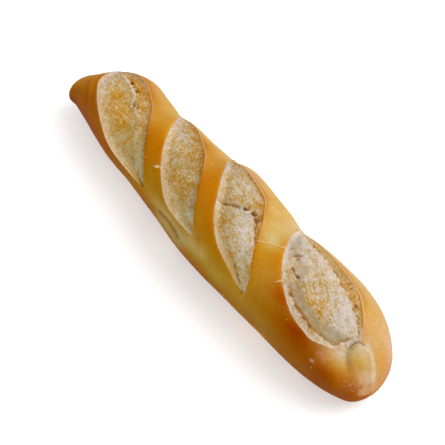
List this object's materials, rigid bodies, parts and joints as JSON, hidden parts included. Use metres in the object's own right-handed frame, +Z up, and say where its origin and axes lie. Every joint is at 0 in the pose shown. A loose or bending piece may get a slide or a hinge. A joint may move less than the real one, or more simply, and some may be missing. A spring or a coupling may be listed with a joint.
{
  "type": "baguette",
  "caption": "Short French stick of bread with a golden crust, slanting slashes baked open to floury crumb, a pinched end and a round end, lying on its flat underside.",
  "frame": {"origin": "under the middle of the loaf, on the plane of its flat underside", "axes": "+X along the loaf from the pinched end to the round end, +Z up, +Y sideways; the slashes run from +Y at their pinched-end tips to -Y at their round-end tips"},
  "size_m": [0.3, 0.068, 0.0541],
  "materials": {
    "crust": "baked crust with a soft sheen, matt floury crumb in the slashes"
  },
  "bodies": {
    "root": {"baguette": "crust"}
  },
  "joints": []
}
